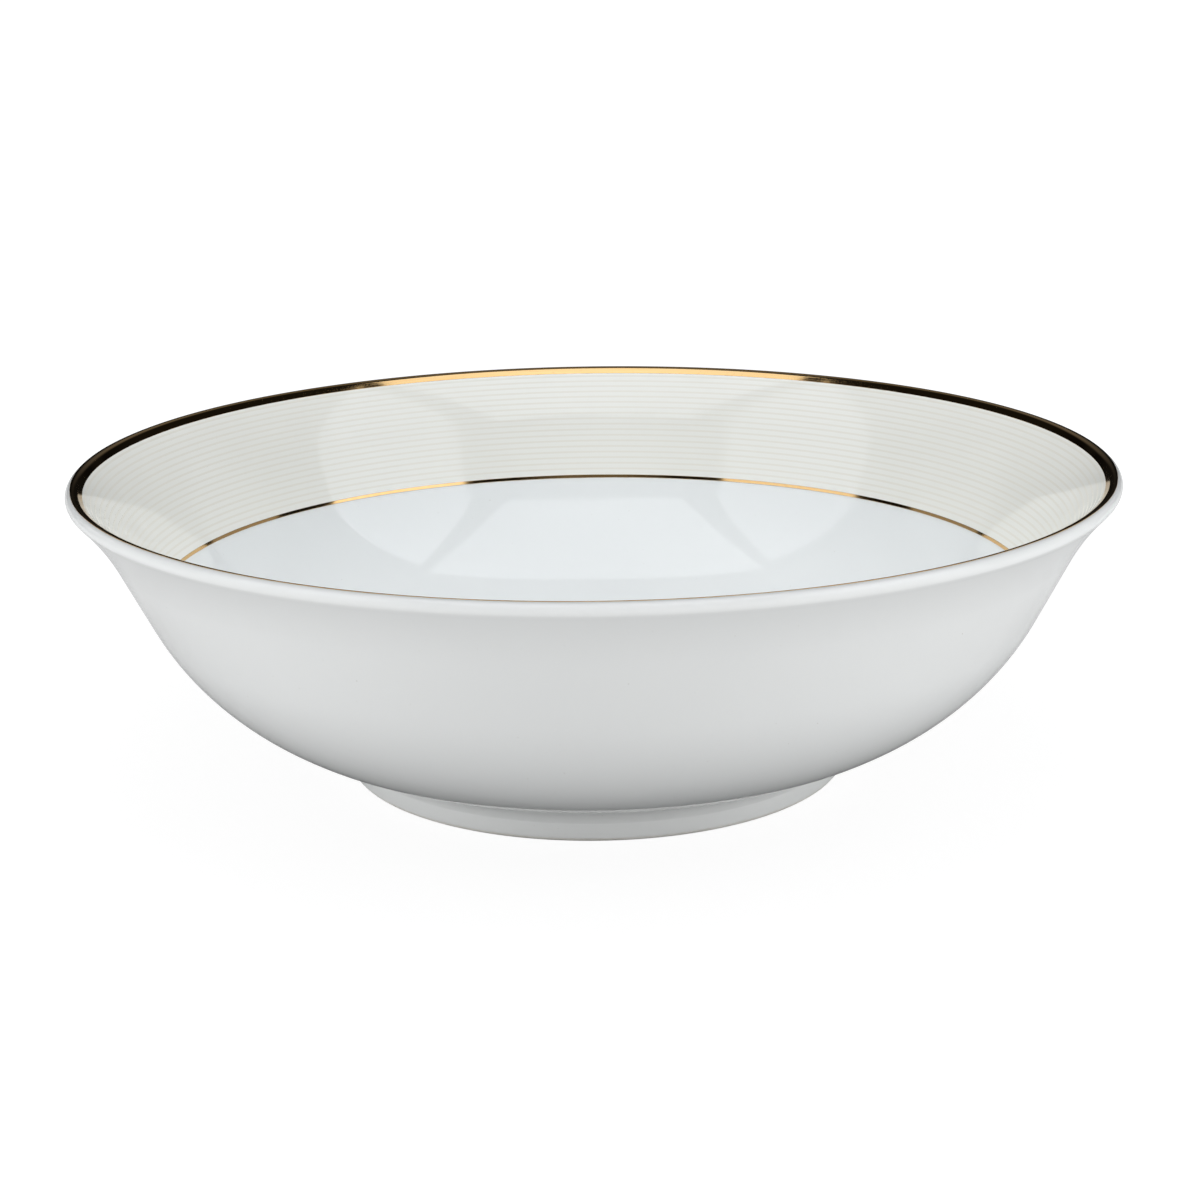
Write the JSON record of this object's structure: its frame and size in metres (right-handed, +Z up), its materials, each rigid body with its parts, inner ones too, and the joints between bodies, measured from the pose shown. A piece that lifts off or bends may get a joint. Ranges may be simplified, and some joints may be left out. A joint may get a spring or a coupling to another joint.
{
  "type": "porcelain serving bowl",
  "caption": "Round porcelain serving bowl, deep with a flared lip, a striped border between gilt lines inside the rim, and a foot ring it stands on.",
  "frame": {"origin": "centre of the circle on which the foot ring stands, on the table plane", "axes": "+Z up along the bowl's axis, from the foot to the lip; +X and +Y are any two level directions, because the bowl is round"},
  "size_m": [0.23, 0.23, 0.0684],
  "materials": {
    "porcelain": "matte",
    "bare_porcelain": "matte",
    "inner_glaze": "gloss",
    "outer_glaze": "gloss",
    "recess_glaze": "gloss",
    "ivory_ground": "gloss",
    "stripe_enamel": "satin",
    "gilding": "polished"
  },
  "bodies": {
    "root": {"bowl_body": "porcelain", "foot_ring": "bare_porcelain", "inner_glaze": "inner_glaze", "outer_glaze": "outer_glaze", "recess_glaze": "recess_glaze", "border_ground": "ivory_ground", "lower_gilt_line": "gilding", "rim_gilding": "gilding", "stripe_01": "stripe_enamel", "stripe_02": "stripe_enamel", "stripe_03": "stripe_enamel", "stripe_04": "stripe_enamel", "stripe_05": "stripe_enamel", "stripe_06": "stripe_enamel", "stripe_07": "stripe_enamel", "stripe_08": "stripe_enamel", "stripe_09": "stripe_enamel", "stripe_10": "stripe_enamel", "stripe_11": "stripe_enamel", "stripe_12": "stripe_enamel", "stripe_13": "stripe_enamel", "stripe_14": "stripe_enamel", "stripe_15": "stripe_enamel", "stripe_16": "stripe_enamel", "stripe_17": "stripe_enamel", "stripe_18": "stripe_enamel"}
  },
  "joints": []
}
